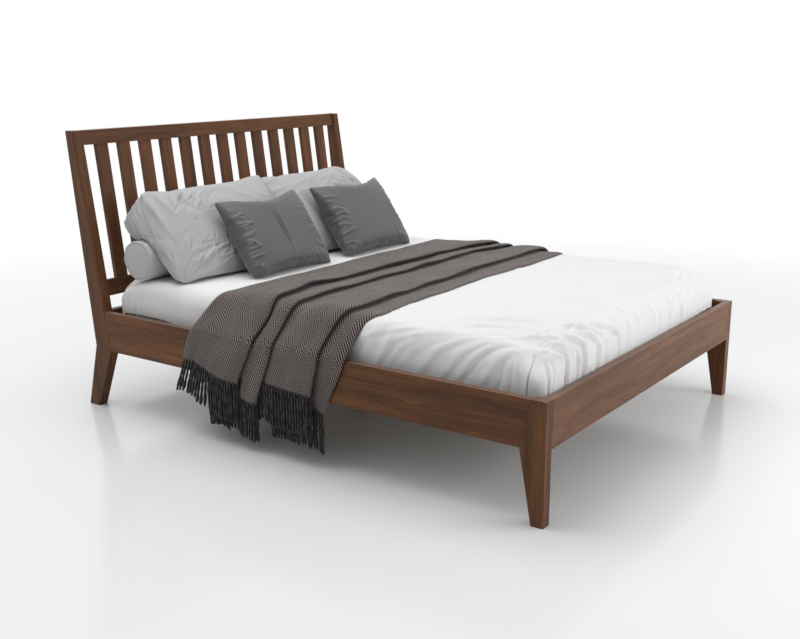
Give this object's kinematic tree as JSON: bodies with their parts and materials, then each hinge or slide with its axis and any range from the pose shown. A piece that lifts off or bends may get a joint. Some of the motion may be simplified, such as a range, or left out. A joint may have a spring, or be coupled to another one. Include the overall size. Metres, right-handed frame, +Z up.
{
  "type": "slatted double bed with bedding",
  "caption": "Low dark wooden double bed with a leaning slatted headboard, splayed head posts, mattress, bolster, pillows, cushions and a folded fringed throw.",
  "frame": {"origin": "on the floor under the middle of the bed", "axes": "+X to the right seen from the foot end, +Y from the foot to the headboard, +Z up"},
  "size_m": [1.75, 2.203, 1.145],
  "materials": {
    "dark_wood": "satin walnut stain",
    "pale_wood": "plain sanded softwood",
    "zinc_steel": "zinc plated",
    "ticking": "woven mattress ticking",
    "sheet_cotton": "white cotton percale",
    "bolster_cotton": "grey cotton",
    "pillow_cotton": "light grey cotton sateen",
    "cushion_satin": "dark grey satin",
    "throw_wool": "herringbone wool",
    "fringe_wool": "twisted dark wool yarn"
  },
  "bodies": {
    "bed_frame": {"foot_leg_left": "dark_wood", "foot_leg_right": "dark_wood", "head_post_left": "dark_wood", "head_post_right": "dark_wood", "side_rail_left": "dark_wood", "side_rail_right": "dark_wood", "foot_rail": "dark_wood", "head_end_rail": "dark_wood", "headboard_top_rail": "dark_wood", "headboard_lower_rail": "dark_wood", "headboard_slat_01": "dark_wood", "headboard_slat_02": "dark_wood", "headboard_slat_03": "dark_wood", "headboard_slat_04": "dark_wood", "headboard_slat_05": "dark_wood", "headboard_slat_06": "dark_wood", "headboard_slat_07": "dark_wood", "headboard_slat_08": "dark_wood", "headboard_slat_09": "dark_wood", "headboard_slat_10": "dark_wood", "headboard_slat_11": "dark_wood", "headboard_slat_12": "dark_wood", "headboard_slat_13": "dark_wood", "side_cleat_left": "pale_wood", "side_cleat_right": "pale_wood", "centre_beam": "pale_wood", "centre_leg_foot": "pale_wood", "centre_leg_head": "pale_wood", "bed_slat_01": "pale_wood", "bed_slat_02": "pale_wood", "bed_slat_03": "pale_wood", "bed_slat_04": "pale_wood", "bed_slat_05": "pale_wood", "bed_slat_06": "pale_wood", "bed_slat_07": "pale_wood", "bed_slat_08": "pale_wood", "bed_slat_09": "pale_wood", "bed_slat_10": "pale_wood", "bed_slat_11": "pale_wood", "bed_slat_12": "pale_wood", "beam_brackets": "zinc_steel", "bed_bolts": "zinc_steel", "bolt_sleeves": "zinc_steel", "cleat_screws": "zinc_steel", "slat_screws": "zinc_steel", "bracket_screws": "zinc_steel"},
    "bedding": {"mattress": "ticking", "bed_sheet": "sheet_cotton"},
    "bolster": {"bolster": "bolster_cotton"},
    "pillow_left": {"pillow_left": "pillow_cotton"},
    "pillow_right": {"pillow_right": "pillow_cotton"},
    "cushion_left": {"cushion_left": "cushion_satin"},
    "cushion_right": {"cushion_right": "cushion_satin"},
    "throw": {"throw_blanket": "throw_wool", "throw_fringe": "fringe_wool"}
  },
  "joints": [
    {"name": "mattress_lift", "type": "slide", "parent": "bed_frame", "child": "bedding", "axis": [0, 0, 1], "range_m": [0, 0.25]},
    {"name": "bolster_lift", "type": "slide", "parent": "bedding", "child": "bolster", "axis": [0, 0, 1], "range_m": [0, 0.25]},
    {"name": "pillow_left_lift", "type": "slide", "parent": "bolster", "child": "pillow_left", "axis": [-0.3, 0, 0.9539], "range_m": [0, 0.25]},
    {"name": "pillow_right_lift", "type": "slide", "parent": "bolster", "child": "pillow_right", "axis": [0.3, 0, 0.9539], "range_m": [0, 0.25]},
    {"name": "cushion_left_lift", "type": "slide", "parent": "pillow_left", "child": "cushion_left", "axis": [0, 0, 1], "range_m": [0, 0.25]},
    {"name": "cushion_right_lift", "type": "slide", "parent": "pillow_right", "child": "cushion_right", "axis": [0, 0, 1], "range_m": [0, 0.25]},
    {"name": "throw_lift", "type": "slide", "parent": "bedding", "child": "throw", "axis": [0, 0, 1], "range_m": [0, 0.55]}
  ]
}
